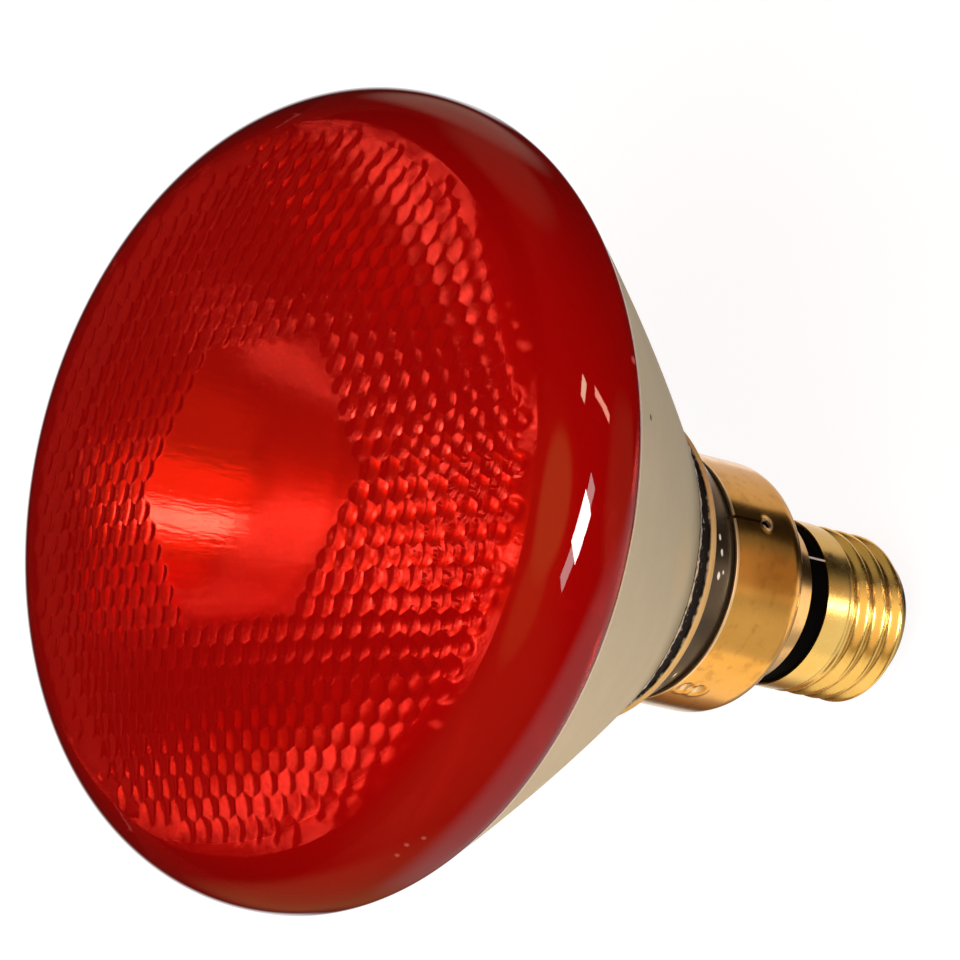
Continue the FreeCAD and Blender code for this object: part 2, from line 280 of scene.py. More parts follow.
def lenslet_rise(x, y):
    """Height of the lenslets: a round cap 1 - d d / (c c) in each cell, d from its middle, c to its corner.

    A point on the border of a smooth cell stays flush, so it is tried a hair to each of six sides.
    """
    inside = np.ones(x.shape, bool)
    for side in np.radians(np.arange(15, 375, 60)):
        inside &= is_lenslet(*cell_index(x + HAIR * np.cos(side), y + HAIR * np.sin(side)))
    middle_x, middle_y = cell_middle(*cell_index(x, y))
    share = np.hypot(x - middle_x, y - middle_y) / CELL_CORNER
    return np.where(inside, LENSLET_HEIGHT * (1 - share ** 2), 0)


def lenslet_field():
    """Inside of the lens over its field: a triangular lattice with points on every cell's middle and corners.

    Height is the inner dome less the lenslets' rise. Border points are moved out to the field's edge.
    """
    step = CELL_CORNER / LENSLET_STEPS
    reach = int(FIELD_RADIUS / (step * math.sqrt(0.75))) + 3
    i, j = np.meshgrid(np.arange(-reach, reach + 1), np.arange(-reach, reach + 1), indexing="ij")
    first = math.radians(LENSLET_TURN + 30)
    second = first + math.pi / 3
    x = step * (i * math.cos(first) + j * math.cos(second)).ravel()
    y = step * (i * math.sin(first) + j * math.sin(second)).ravel()
    index = np.arange(x.size).reshape(i.shape)
    a, b, c, d = (part.ravel() for part in (index[:-1, :-1], index[:-1, 1:], index[1:, :-1], index[1:, 1:]))
    faces = np.concatenate([np.stack([a, b, c], -1), np.stack([c, b, d], -1)])
    kept = np.hypot(x[faces].mean(axis=1), y[faces].mean(axis=1)) < FIELD_RADIUS - 0.35 * step
    used, faces = np.unique(faces[kept], return_inverse=True)
    faces = faces.reshape(-1, 3)
    x, y = x[used], y[used]
    pairs = np.sort(np.concatenate([faces[:, [0, 1]], faces[:, [1, 2]], faces[:, [2, 0]]]), axis=1)
    edges, uses = np.unique(pairs, axis=0, return_counts=True)
    border = np.unique(edges[uses == 1])
    border = border[np.argsort(np.arctan2(y[border], x[border]))]
    out = FIELD_RADIUS / np.hypot(x[border], y[border])
    x[border] *= out
    y[border] *= out
    z = DOME_Z + np.sqrt(DOME_INNER ** 2 - x ** 2 - y ** 2) - lenslet_rise(x, y)
    return np.stack([x, y, z], axis=-1), faces, border


def lens_shape():
    """Lens: the lenslet field, then a profile carried round from its edge over the rim to the crown.

    The arc behind the rim has the radius (a a + b b) / (2 a), with a across and b up from the joint.
    """
    field, faces, border = lenslet_field()
    angle = np.arctan2(field[border, 1], field[border, 0])
    inset, rise = LENS_RADIUS - JOINT_RADIUS, WIDEST_Z - JOINT_Z
    back = (inset ** 2 + rise ** 2) / (2 * inset)
    back_start = -math.degrees(math.asin(rise / back))
    corner_end = math.degrees(math.atan2(CORNER_Z - DOME_Z, CORNER_REACH))
    field_edge = (FIELD_RADIUS, field[border[0], 2])
    profile = section(
        run(field_edge, (JOINT_INNER, JOINT_Z), 4)[1:],
        run((JOINT_INNER, JOINT_Z), (JOINT_RADIUS, JOINT_Z), 2),
        sweep((LENS_RADIUS - back, WIDEST_Z), back, back_start, 0, 5),
        run((LENS_RADIUS, WIDEST_Z), (LENS_RADIUS, CORNER_Z), 2),
        sweep((CORNER_REACH, CORNER_Z), CORNER_RADIUS, 0, corner_end, 20),
        sweep((0, DOME_Z), DOME_RADIUS, corner_end, 90, 36))
    rows = carry_round(profile[:, :1], profile[:, 1:], angle).reshape(-1, 3)
    points = np.concatenate([field, rows, [[0, 0, DOME_Z + DOME_RADIUS]]])
    index = np.concatenate([border[None], len(field) + np.arange(len(rows)).reshape(-1, len(border))])
    triangles = np.concatenate([faces, fan_faces(len(points) - 1, index[-1])])
    return points, grid_faces(joined(index, 1)), triangles


def lens_zone(middles):
    """0 on the stained outside, 1 on the bare inside and the joint."""
    radius, height = np.hypot(middles[:, 0], middles[:, 1]), middles[:, 2]
    inner = DOME_Z + np.sqrt(DOME_INNER ** 2 - np.minimum(radius, FIELD_RADIUS) ** 2)
    wall = FIELD_RADIUS + (inner - height) * (JOINT_INNER - FIELD_RADIUS) / (inner - JOINT_Z)
    margin = 0.5
    return (height < inner + margin) & (radius < wall + margin) | (height < JOINT_Z + HAIR)


# Shape of the reflector

def on_neck(z, sunk=0.0):
    """Point of the neck's slope at a height, sunk below its surface."""
    slope = (NECK_TOP[0] - NECK_RADIUS) / (NECK_TOP[1] - SKIRT_RIM_Z)
    return NECK_RADIUS + slope * (z - SKIRT_RIM_Z) - sunk, z


def bowl_profile():
    """Half section of the pressed bowl: floor, neck, ridge, groove, coated cone, rim and mirror."""
    foot = np.array(BOWL_FOOT)
    rim = np.array([JOINT_RADIUS, JOINT_Z - JOINT_GAP])
    rim_inner = np.array([JOINT_INNER, rim[1]])
    cone = (rim - foot) / np.hypot(*(rim - foot))
    inner_foot = foot + BOWL_WALL * np.array([-cone[1], cone[0]])
    ridge_low, ridge_high = (on_neck(z) for z in RIDGE_Z)
    groove_low, groove_high = (on_neck(z, GROOVE_DEPTH) for z in GROOVE_Z)
    return section(
        (0, UNDERSIDE_Z), (UNDERSIDE_FIRST_RING, UNDERSIDE_Z), (NECK_BORE, UNDERSIDE_Z),
        (NECK_BORE, NECK_END_Z), (NECK_RADIUS, NECK_END_Z),
        run((NECK_RADIUS, SKIRT_RIM_Z), ridge_low, 14),
        bow(ridge_low, ridge_high, RIDGE_RISE, 8),
        run(ridge_high, groove_low, 2),
        run(groove_low, groove_high, 6),
        run(groove_high, foot, 3),
        bow(foot, rim, BOWL_BULGE, 40),
        run(rim, rim_inner, 3),
        bow(rim_inner, inner_foot, -BOWL_BULGE, 40),
        run(inner_foot, (FLOOR_RADIUS, FLOOR_Z), 5),
        run((FLOOR_RADIUS, FLOOR_Z), (FLOOR_FIRST_RING, FLOOR_Z), 4),
        (0, FLOOR_Z))


def ragged(angle, radius, height):
    """Uneven edge of the coat at the bowl's foot: a sum of sines of the angle, only next to the groove."""
    wave = np.sin(37 * angle) + 0.8 * np.sin(83 * angle + 1.3) + 0.6 * np.sin(151 * angle + 0.4)
    near = np.exp(-((height - BOWL_FOOT[1]) / 0.6) ** 2) * (radius > BOWL_FOOT[0] - 1)
    return COAT_RAGGED * wave * near


def bowl_zone(middles):
    """0 on the coat and the neck outside, 1 on the mirror inside."""
    radius, height = np.hypot(middles[:, 0], middles[:, 1]), middles[:, 2]
    slope = (JOINT_RADIUS - BOWL_FOOT[0]) / (JOINT_Z - BOWL_FOOT[1])
    wall = BOWL_FOOT[0] + slope * (height - BOWL_FOOT[1])
    return (height > FLOOR_Z - HAIR) & (radius < wall - 0.5 * BOWL_WALL)


# Shapes of the cap

def skirt_profile():
    """Half section of the drawn skirt: collar, shoulder, side, rim and the same way back inside."""
    hub = (SKIRT_RADIUS - SHOULDER_RADIUS, COLLAR_TOP[1] + SHOULDER_RADIUS)
    flat = COLLAR_TOP[1] + SKIRT_WALL
    collar_edge = (COLLAR_END[0], COLLAR_END[1] + COLLAR_EDGE)
    rim_edge = (SKIRT_RADIUS, SKIRT_RIM_Z - SKIRT_RIM_EDGE)
    rim_face = (SKIRT_RADIUS - SKIRT_RIM_EDGE, SKIRT_RIM_Z)
    return section(
        (COLLAR_END[0] - SKIRT_WALL, COLLAR_END[1]),
        run((COLLAR_END[0] - COLLAR_EDGE, COLLAR_END[1]), collar_edge, 2),
        run(collar_edge, COLLAR_TOP, 14),
        run(COLLAR_TOP, (hub[0], COLLAR_TOP[1]), 3),
        sweep(hub, SHOULDER_RADIUS, -90, 0, 14),
        run((SKIRT_RADIUS, hub[1]), rim_edge, 44),
        run(rim_edge, rim_face, 3),
        run(rim_face, (SKIRT_BORE, SKIRT_RIM_Z), 2),
        run((SKIRT_BORE, SKIRT_RIM_Z), (SKIRT_BORE, hub[1]), 44),
        sweep(hub, SHOULDER_RADIUS - SKIRT_WALL, 0, -90, 8),
        (hub[0], flat), (COLLAR_TOP[0] - SKIRT_WALL, flat))


def slit_half_width(height):
    """Half the slit's width at a height: the eye's circle, then a plain slot up to the rim."""
    eye = np.sqrt(np.maximum(SLIT_EYE ** 2 - (height - SLIT_END_Z) ** 2, 0))
    return np.maximum(eye, np.where(height > SLIT_END_Z, 0.5 * SLIT_WIDTH, 0))


def on_skirt_side(radius):
    """True on the skirt's side wall, where the slit and the crimps are."""
    return radius > SKIRT_BORE - HAIR


def skirt_swell(angle, radius, height):
    """Waviness of drawn sheet, dents of the crimps and a raised lip round the slit's eye.

    A dent is exp(-2.2 d d), with d the distance from its middle in its own radius, and a lip is a ring of
    exp(-t t), with t the distance from the lip's line in its own width.
    """
    out = 0.02 * np.sin(3 * angle + 0.25 * height) + 0.012 * np.sin(7 * angle - 0.4 * height + 1)
    for crimp in np.radians(CRIMP_ANGLES):
        for level in CRIMP_Z:
            far = np.hypot(SKIRT_RADIUS * (angle - crimp), height - level) / CRIMP_RADIUS
            out = out - CRIMP_DEPTH * np.exp(-2.2 * far ** 2) + CRIMP_LIP * np.exp(-((far - 1.35) / 0.3) ** 2)
    far = np.hypot(SKIRT_RADIUS * (angle - math.radians(SLIT_ANGLE)), height - SLIT_END_Z)
    out = out + SLIT_LIP * np.exp(-((far - 1.0) / 0.25) ** 2)
    return np.where(on_skirt_side(radius), out, 0)


def skirt_shape():
    """Skirt: its profile carried from one side of the slit to the other, with the slit's cheeks closed.

    The angle at column share u is slit + w / r + u (360 - 2 w / r), with w the slit's half width there.
    """
    profile = skirt_profile()
    radius, height = profile[:, :1], profile[:, 1:]
    lean = np.where(on_skirt_side(radius), slit_half_width(height), 0) / radius
    angle = math.radians(SLIT_ANGLE) + lean + np.linspace(0, 1, SKIRT_COLUMNS) * (2 * math.pi - 2 * lean)
    wrapped = (angle + math.pi) % (2 * math.pi) - math.pi
    points = carry_round(radius + skirt_swell(wrapped, radius, height), height, angle).reshape(-1, 3)
    rows = len(profile)
    index = np.arange(len(points)).reshape(rows, SKIRT_COLUMNS)
    whole = lean[:, 0] == 0
    index[whole, -1] = index[whole, 0]
    bore_start = np.flatnonzero(profile[:, 1] == SKIRT_RIM_Z)[1]
    outside = np.flatnonzero(~whole & (np.arange(rows) < bore_start))
    inside = np.flatnonzero(~whole & (np.arange(rows) >= bore_start))[::-1]
    outside = np.concatenate([[outside[0] - 1], outside])
    inside = np.concatenate([[inside[0] + 1], inside])
    cheeks = np.concatenate([cheek_faces(index[inside, 0], index[outside, 0]),
                             cheek_faces(index[outside, -1], index[inside, -1])])
    used, quads = np.unique(grid_faces(joined(index, 0)), return_inverse=True)
    return points[used], quads.reshape(-1, 4), np.searchsorted(used, cheeks)


def cheek_faces(one, other):
    """Triangles of a strip between two lines of points that start at one end, whatever their lengths."""
    steps = max(len(one), len(other))
    a = one[np.round(np.linspace(0, len(one) - 1, steps)).astype(int)]
    b = other[np.round(np.linspace(0, len(other) - 1, steps)).astype(int)]
    strip = np.concatenate([np.stack([a[:-1], b[:-1], b[1:]], -1), np.stack([a[:-1], b[1:], a[1:]], -1)])
    return strip[(strip[:, 0] != strip[:, 1]) & (strip[:, 1] != strip[:, 2]) & (strip[:, 0] != strip[:, 2])]


def smooth_step(t):
    """0 below 0, 1 above 1, and t t (3 - 2 t) between."""
    t = np.clip(t, 0, 1)
    return t * t * (3 - 2 * t)


def shell_shape():
    """Screw shell: radius is a wave of height that climbs one pitch a turn and fades into both plain ends."""
    z = np.linspace(*SHELL_Z, SHELL_ROWS)[:, None]
    angle = np.linspace(-math.pi, math.pi, SHELL_COLUMNS, endpoint=False)
    crest = THREAD_CREST_Z + THREAD_PITCH * (np.degrees(angle) - THREAD_CREST_ANGLE) / 360
    wave = 0.5 * THREAD_DEPTH * (1 + np.cos(2 * math.pi * (z - crest) / THREAD_PITCH))
    rolled = THREAD_RADIUS - THREAD_DEPTH + wave
    fade = 0.5 * THREAD_PITCH
    band = smooth_step((z - (SHELL_Z[1] - SHELL_BAND)) / fade + 1)
    tail = smooth_step(1 - (z - SHELL_Z[0]) / fade)
    radius = rolled + (THREAD_RADIUS - rolled) * band
    radius = radius + (SHELL_END_RADIUS - radius) * tail
    outer, inner = carry_round(radius, z, angle), carry_round(radius - SHELL_WALL, z, angle)[::-1]
    points = np.concatenate([outer, inner]).reshape(-1, 3)
    index = np.arange(len(points)).reshape(-1, SHELL_COLUMNS)
    return points, grid_faces(joined(joined(index, 1), 0)), np.empty((0, 3), int)


def ring_profile():
    """Half section of the insulating ring, with broken outer edges."""
    low, high = RING_Z
    return section(
        (RING_BORE, low), (RING_RADIUS - RING_EDGE, low),
        run((RING_RADIUS, low + RING_EDGE), (RING_RADIUS, high - RING_EDGE), 8),
        (RING_RADIUS, high - RING_EDGE), (RING_RADIUS - RING_EDGE, high), (RING_BORE, high))


def button_profile():
    """Black glass button: a cone from the contact out to the shell's end, and the plug inside the shell."""
    end = (BUTTON_PLUG, SHELL_Z[0])
    return section(
        (BUTTON_BORE, CONTACT_THICKNESS), (BUTTON_FOOT - BUTTON_TOE[0], CONTACT_THICKNESS),
        bow((BUTTON_FOOT, CONTACT_THICKNESS + BUTTON_TOE[1]), end, BUTTON_BULGE, 10),
        end, (BUTTON_PLUG, BUTTON_TOP_Z - BUTTON_EDGE), (BUTTON_PLUG - BUTTON_EDGE, BUTTON_TOP_Z),
        (BUTTON_BORE, BUTTON_TOP_Z))


def contact_profile():
    """Stamped contact with rounded edges and an eye."""
    eye_face = (CONTACT_EYE + CONTACT_EYE_EDGE, 0)
    hub = (CONTACT_RADIUS - CONTACT_EDGE, CONTACT_EDGE)
    return section(
        run((CONTACT_EYE, CONTACT_EYE_EDGE), eye_face, 3),
        run(eye_face, (hub[0], 0), 6),
        sweep(hub, CONTACT_EDGE, -90, 0, 8),
        (CONTACT_RADIUS, CONTACT_EDGE), (CONTACT_RADIUS, CONTACT_THICKNESS), (CONTACT_EYE, CONTACT_THICKNESS))


def solder_profile():
    """Drop of solder in the contact's eye. Its face is hollowed: s (1 + t t), with t from middle to edge."""
    t = np.linspace(0, 1, 8)[:-1]
    face = np.stack([CONTACT_EYE * t, SOLDER_SINK * (1 + t ** 2)], axis=-1)
    edge = CONTACT_EYE - SOLDER_GAP
    return section(face, (edge, 2 * SOLDER_SINK), (edge, CONTACT_THICKNESS), (0, CONTACT_THICKNESS))


# Finishes. A place on a surface is its angle round the axis and its height.
RIM_STAIN = (48.5, 55.5)
FIELD_STAIN = (19.0, 22.0)
CHIP = (-62.0, 113.0)
BUBBLES = ((-138.5, 121.4), (-136.0, 120.5), (-141.0, 121.0))
BUBBLE_RADIUS = 59.5
CONE_SPECK = (-67.5, 105.6)
CONE_SPECK_RADIUS = 55.5
CONE_BRASS_REFLECTION = (-86.0, 79.0)
CONE_BRASS_REFLECTION_RADIUS = 37.0
CONE_SHADE_Z = (70.0, 80.0)
CONE_EDGE_Z = (JOINT_Z - 0.6, JOINT_Z - 0.3)
FOIL_Z = (68.1, 69.5)
GROOVE_SHADE_Z = (RIDGE_Z[1] + 0.9, 70.2)
CRUMB_Z = (64.5, 68.0)
WHITE_SPECKS = ((-70.5, 58.1, 0.45), (-75.8, 57.0, 0.5), (-85.0, 57.4, 0.6), (-83.0, 55.6, 0.3),
          (-40.0, 57.0, 0.4), (-130.0, 56.0, 0.4), (20.0, 58.0, 0.5), (110.0, 57.0, 0.5))
WHITE_SPECK_RADIUS = 22.4
BROWNED = (SLIT_ANGLE - 22, 44.0)
WELD_MARK = (-51.0, 22.9)
THREAD_VALLEY = (12.05, 12.4)


class Value:
    """A socket of a finish. Arithmetic on it, with numbers or other values, adds Math nodes."""

    def __init__(self, finish, socket):
        self.finish = finish
        self.socket = socket

    def __add__(self, other):
        return self.finish.math("ADD", self, other)

    def __sub__(self, other):
        return self.finish.math("SUBTRACT", self, other)

    def __rsub__(self, other):
        return self.finish.math("SUBTRACT", other, self)

    def __mul__(self, other):
        return self.finish.math("MULTIPLY", self, other)

    def __truediv__(self, other):
        return self.finish.math("DIVIDE", self, other)

    def __pow__(self, other):
        return self.finish.math("POWER", self, other)

    __radd__ = __add__
    __rmul__ = __mul__


class Nodes:
    """A node tree, built by one method."""

    def __init__(self, owner):
        owner.use_nodes = True
        self.tree = owner.node_tree

    def node(self, kind, settings=None, sockets=None, output=0):
        """Adds a node, sets its settings, then its sockets, and gives one of its outputs."""
        made = self.tree.nodes.new(kind)
        for name, setting in (settings or {}).items():
            setattr(made, name, setting)
        for name, given in (sockets or {}).items():
            self.feed(made.inputs[name], given)
        return Value(self, made.outputs[output])

    def feed(self, socket, given):
        """Links a value to a socket, or sets the socket to a constant."""
        if isinstance(given, Value):
            self.tree.links.new(given.socket, socket)
        else:
            socket.default_value = given

    def math(self, operation, one, other):
        """Math node of two values or numbers."""
        return self.node("ShaderNodeMath", {"operation": operation}, {0: one, 1: other})

    def step(self, value, low, high):
        """0 below low, 1 above high, smooth between."""
        return self.node("ShaderNodeMapRange", {"interpolation_type": "SMOOTHSTEP"},
                         {"Value": value, "From Min": low, "From Max": high})

    def blend(self, share, one, other):
        """Colour between one and other."""
        return self.node("ShaderNodeMix", {"data_type": "RGBA"}, {0: share, 6: one, 7: other}, 2)


class Finish(Nodes):
    """One material: a Principled shader and the nodes that feed it."""

    def __init__(self, name):
        self.material = bpy.data.materials.new(name)
        super().__init__(self.material)
        self.shader = self.tree.nodes["Principled BSDF"]
        self.place = self.node("ShaderNodeTexCoord", output="Object")

    def shade(self, **sockets):
        """Feeds the shader's sockets; an underscore stands for a space."""
        for name, given in sockets.items():
            self.feed(self.shader.inputs[name.replace("_", " ")], given)
        return self.material

    def mix(self, share, other):
        """Puts another shader over this finish's own, by a share."""
        own = Value(self, self.shader.outputs[0])
        mixed = self.node("ShaderNodeMixShader", None, {0: share, 1: own, 2: other})
        self.feed(self.tree.nodes["Material Output"].inputs["Surface"], mixed)
        return self.material

    def axis(self, name):
        """One coordinate in millimetres."""
        return self.node("ShaderNodeSeparateXYZ", None, {0: self.place}, name) / MM

    def across(self):
        """Distance from the lamp's axis in millimetres."""
        return (self.axis("X") ** 2 + self.axis("Y") ** 2) ** 0.5

    def turn(self):
        """Angle round the lamp's axis in degrees."""
        return self.math("ARCTAN2", self.axis("Y"), self.axis("X")) * math.degrees(1)

    def grain(self, size, detail=3.0, stretch=(1, 1, 1)):
        """Noise from 0 to 1 with features of a size in millimetres, drawn out by stretch."""
        scale = tuple(1 / s for s in stretch)
        spot = self.node("ShaderNodeMapping", None, {"Vector": self.place, "Scale": scale})
        return self.node("ShaderNodeTexNoise", None,
                         {"Vector": spot, "Scale": 1 / (size * MM), "Detail": detail})

    def band(self, value, low, high, soft):
        """1 between low and high, 0 outside, with soft edges."""
        return self.step(value, low - soft, low + soft) * (1 - self.step(value, high - soft, high + soft))

    def spot(self, turn, height, place, radius, size, soft):
        """1 near a place on a round wall of a radius, 0 further than a size from it, with a soft edge."""
        around = (turn - place[0]) * (radius * math.radians(1))
        up = height - place[1]
        far = (around * around + up * up) ** 0.5
        return 1 - self.step(far, size - soft, size + soft)

    def bump(self, height, depth, strength=1.0):
        """Normal from a height of 0 to 1 that stands for a depth in millimetres."""
        return self.node("ShaderNodeBump", None,
                         {"Height": height, "Distance": depth * MM, "Strength": strength})


def colour(red, green, blue):
    """Opaque colour, linear."""
    return (red, green, blue, 1.0)


def red_glass():
    """Clear pressed glass under a red stain, which is thick and cloudy on the rim."""
    finish = Finish("red_glass")
    cloud, wave = finish.grain(14, 2), finish.grain(5, 2)
    stain = finish.blend(cloud, colour(0.98, 0.07, 0.045), colour(0.92, 0.05, 0.03))
    finish.shade(Base_Color=stain, Transmission_Weight=1.0, Roughness=0.012, IOR=1.5,
                 Normal=finish.bump(wave, 0.015))
    across, height, turn = finish.across(), finish.axis("Z"), finish.turn()
    rim, field = finish.step(across, *RIM_STAIN), finish.step(across, *FIELD_STAIN)
    lacquer = finish.blend(cloud, colour(0.38, 0.001, 0.0008), colour(0.46, 0.0015, 0.001))
    lacquer = finish.blend(field, colour(0.70, 0.0015, 0.001), lacquer)
    lacquer = finish.blend(rim, lacquer, colour(0.22, 0.0005, 0.0004))
    chip = finish.spot(turn, height + cloud * 2 - 1, CHIP, LENS_RADIUS, 0.5, 0.3)
    for bubble in BUBBLES:
        chip = chip + finish.spot(turn, height, bubble, BUBBLE_RADIUS, 0.3, 0.2) * 0.5
    lacquer = finish.blend(chip, lacquer, colour(0.50, 0.13, 0.10))
    coat = finish.node("ShaderNodeBsdfPrincipled", None,
                       {"Base Color": lacquer, "Roughness": 0.02, "IOR": 1.5})
    return finish.mix(0.3 + field * 0.2 + rim * 0.35, coat)


def clear_lens_glass():
    """Bare pressed glass inside the lens."""
    finish = Finish("clear_lens_glass")
    wave = finish.grain(4, 2)
    tint = finish.blend(wave, colour(0.98, 0.97, 0.96), colour(1.0, 0.99, 0.98))
    return finish.shade(Base_Color=tint, Transmission_Weight=1.0, Roughness=0.01, IOR=1.5,
                        Normal=finish.bump(wave, 0.015))


def bowl_coat():
    """Matt beige-grey coat on the cone with painted shade and a painted reflection of the brass near the
    neck, crumbs in a band of painted shade in the groove, a ridge painted tan as a reflection of the brass,
    and dark bare glass at the neck.
    """
    finish = Finish("bowl_coat")
    height, turn = finish.axis("Z"), finish.turn()
    fine, cloud = finish.grain(0.5, 4), finish.grain(9, 3)
    base = finish.blend(cloud, colour(0.43, 0.40, 0.285), colour(0.51, 0.47, 0.35))
    base = finish.blend(fine * 0.35, base, colour(0.35, 0.30, 0.21))
    # Painted shade: the coat is painted darker towards the neck.
    neck_painted_shade = 1 - finish.step(height + cloud * 4, *CONE_SHADE_Z)
    base = finish.blend(neck_painted_shade * 0.6, base, colour(0.15, 0.125, 0.065))
    # Painted reflection: a warm tan spot on the coat stands for the brass cap mirrored in it.
    glow = finish.spot(turn, height, CONE_BRASS_REFLECTION, CONE_BRASS_REFLECTION_RADIUS, 4.5, 3.5)
    base = finish.blend(glow * 0.25, base, colour(0.62, 0.47, 0.26))
    speck = finish.spot(turn, height, CONE_SPECK, CONE_SPECK_RADIUS, 0.45, 0.15)
    base = finish.blend(speck, base, colour(0.02, 0.017, 0.012))
    edge = finish.step(height + fine * 0.5, *CONE_EDGE_Z)
    base = finish.blend(edge * 0.8, base, colour(0.62, 0.53, 0.40))

    # Groove: a dark band of painted shade with pale crumbs, under the frayed foil edge of the coat
    frayed = height + finish.grain(1.1, 3) * 1.6
    foil = finish.band(frayed, *FOIL_Z, 0.1) * finish.step(finish.grain(0.9, 2), 0.34, 0.44)
    groove_shade = finish.band(frayed, *GROOVE_SHADE_Z, 0.3)
    crumb = finish.step(finish.grain(0.6, 2), 0.62, 0.68) * finish.band(height, *CRUMB_Z, 0.5)
    groove_shade_and_crumbs = finish.blend(crumb, colour(0.006, 0.005, 0.004), colour(0.35, 0.32, 0.27))
    base = finish.blend(groove_shade, base, groove_shade_and_crumbs)
    base = finish.blend(foil, base, colour(0.80, 0.78, 0.74))

    # Neck: the ridge, painted tan as a painted reflection of the brass skirt, then bare dark glass with white
    # specks
    # Painted reflection: the ridge's tan colour stands for the brass skirt mirrored in the glass.
    ridge = finish.band(height, RIDGE_Z[0] - 0.1, RIDGE_Z[1] + 0.1, 0.1)
    tan = finish.blend(cloud, colour(0.34, 0.22, 0.08), colour(0.52, 0.38, 0.17))
    bare = 1 - finish.step(height, RIDGE_Z[0] - 0.2, RIDGE_Z[0] - 0.1)
    dark = finish.blend(cloud, colour(0.008, 0.006, 0.004), colour(0.03, 0.022, 0.013))
    for *place, size in WHITE_SPECKS:
        white_speck = finish.spot(turn, height + fine * 0.8 - 0.4, place, WHITE_SPECK_RADIUS, size, 0.15)
        dark = finish.blend(white_speck, dark, colour(0.85, 0.83, 0.78))
    base = finish.blend(ridge, base, tan)
    base = finish.blend(bare, base, dark)
    return finish.shade(Base_Color=base, Roughness=0.62 - bare * 0.44 - foil * 0.3, Metallic=foil * 0.7,
                        IOR=1.5, Specular_IOR_Level=0.05, Normal=finish.bump(fine, 0.05, 0.6))


def bowl_mirror():
    """Vapour-deposited mirror inside the bowl, with faint rays from its floor to its rim."""
    finish = Finish("bowl_mirror")
    cloud, across = finish.grain(20, 2), finish.across()
    round_it = finish.node("ShaderNodeCombineXYZ", None, {
        "X": finish.axis("X") / across, "Y": finish.axis("Y") / across, "Z": finish.axis("Z") * 0.004})
    ray = finish.node("ShaderNodeTexNoise", None, {"Vector": round_it, "Scale": 60.0, "Detail": 3.0})
    silver = finish.blend(cloud, colour(0.88, 0.88, 0.87), colour(0.93, 0.93, 0.92))
    return finish.shade(Base_Color=silver, Metallic=1.0, Roughness=0.07 + cloud * 0.06,
                        Normal=finish.bump(ray, 0.03))


def skirt_brass():
    """Drawn brass: brown tarnish in clouds, small stains, fine rub marks round it, a collar painted lighter
    as painted light, and painted highlights round the slit's eye, on the crimps and on the worn rim lip.
    """
    finish = Finish("skirt_brass")
    height, turn = finish.axis("Z"), finish.turn()
    cloud, stain = finish.grain(7, 4), finish.grain(2.2, 5)
    rub = finish.grain(1.2, 3, (6, 6, 0.4))
    base = finish.blend(cloud, colour(0.66, 0.31, 0.055), colour(0.82, 0.43, 0.095))
    base = finish.blend(finish.step(stain, 0.52, 0.70) * 0.4, base, colour(0.42, 0.18, 0.03))
    # Painted light: the collar is painted lighter than the rest of the skirt.
    collar = 1 - finish.step(height, COLLAR_TOP[1] - 1, COLLAR_TOP[1] + 0.5)
    base = finish.blend(collar * 0.5, base, colour(0.80, 0.52, 0.24))
    browned = finish.spot(turn, height + cloud * 4, BROWNED, SKIRT_RADIUS, 5.0, 3.0)
    base = finish.blend(browned * 0.5, base, colour(0.36, 0.15, 0.02))
    # Painted highlights: the raised ring round the slit's eye, the crimps and the rim's lip are painted
    # lighter; the lip is also worn.
    eye_and_crimp_highlight = finish.spot(turn, height, (SLIT_ANGLE, SLIT_END_Z), SKIRT_RADIUS, 1.15, 0.1)
    for crimp in CRIMP_ANGLES:
        for level in CRIMP_Z:
            eye_and_crimp_highlight = eye_and_crimp_highlight + finish.spot(turn, height, (crimp, level), SKIRT_RADIUS, 0.9, 0.3)
    lip = finish.step(height, SKIRT_RIM_Z - 0.55, SKIRT_RIM_Z - 0.35)
    base = finish.blend(eye_and_crimp_highlight * 0.8 + lip * 0.8, base, colour(1.0, 0.78, 0.48))
    rough = 0.11 + stain * 0.1 + rub * 0.05 + eye_and_crimp_highlight * 0.2 + lip * 0.2
    return finish.shade(Base_Color=base, Metallic=1.0, Roughness=rough,
                        Normal=finish.bump(stain + rub, 0.01, 0.4))


def shell_brass():
    """Rolled brass: bright crests, dark lines in the thread's valleys, a brown weld mark by the link wire."""
    finish = Finish("shell_brass")
    height, turn = finish.axis("Z"), finish.turn()
    cloud, fine = finish.grain(5, 3), finish.grain(0.9, 4)
    base = finish.blend(cloud, colour(0.72, 0.44, 0.10), colour(0.84, 0.57, 0.18))
    valley = 1 - finish.step(finish.across() + fine * 0.2, *THREAD_VALLEY)
    base = finish.blend(valley * 0.6, base, colour(0.30, 0.15, 0.03))
    mark = finish.spot(turn, height, WELD_MARK, THREAD_RADIUS, 1.5, 0.5) * finish.step(fine, 0.35, 0.6)
    base = finish.blend(mark * 0.8, base, colour(0.16, 0.05, 0.015))
    return finish.shade(Base_Color=base, Metallic=1.0, Roughness=0.2 + fine * 0.12,
                        Normal=finish.bump(fine, 0.004, 0.3))


def black_glass():
    """Black insulating glass."""
    finish = Finish("black_glass")
    cloud = finish.grain(3, 3)
    base = finish.blend(cloud, colour(0.0005, 0.0005, 0.0005), colour(0.002, 0.002, 0.002))
    return finish.shade(Base_Color=base, Roughness=0.35 + cloud * 0.25, IOR=1.45, Specular_IOR_Level=0.02)


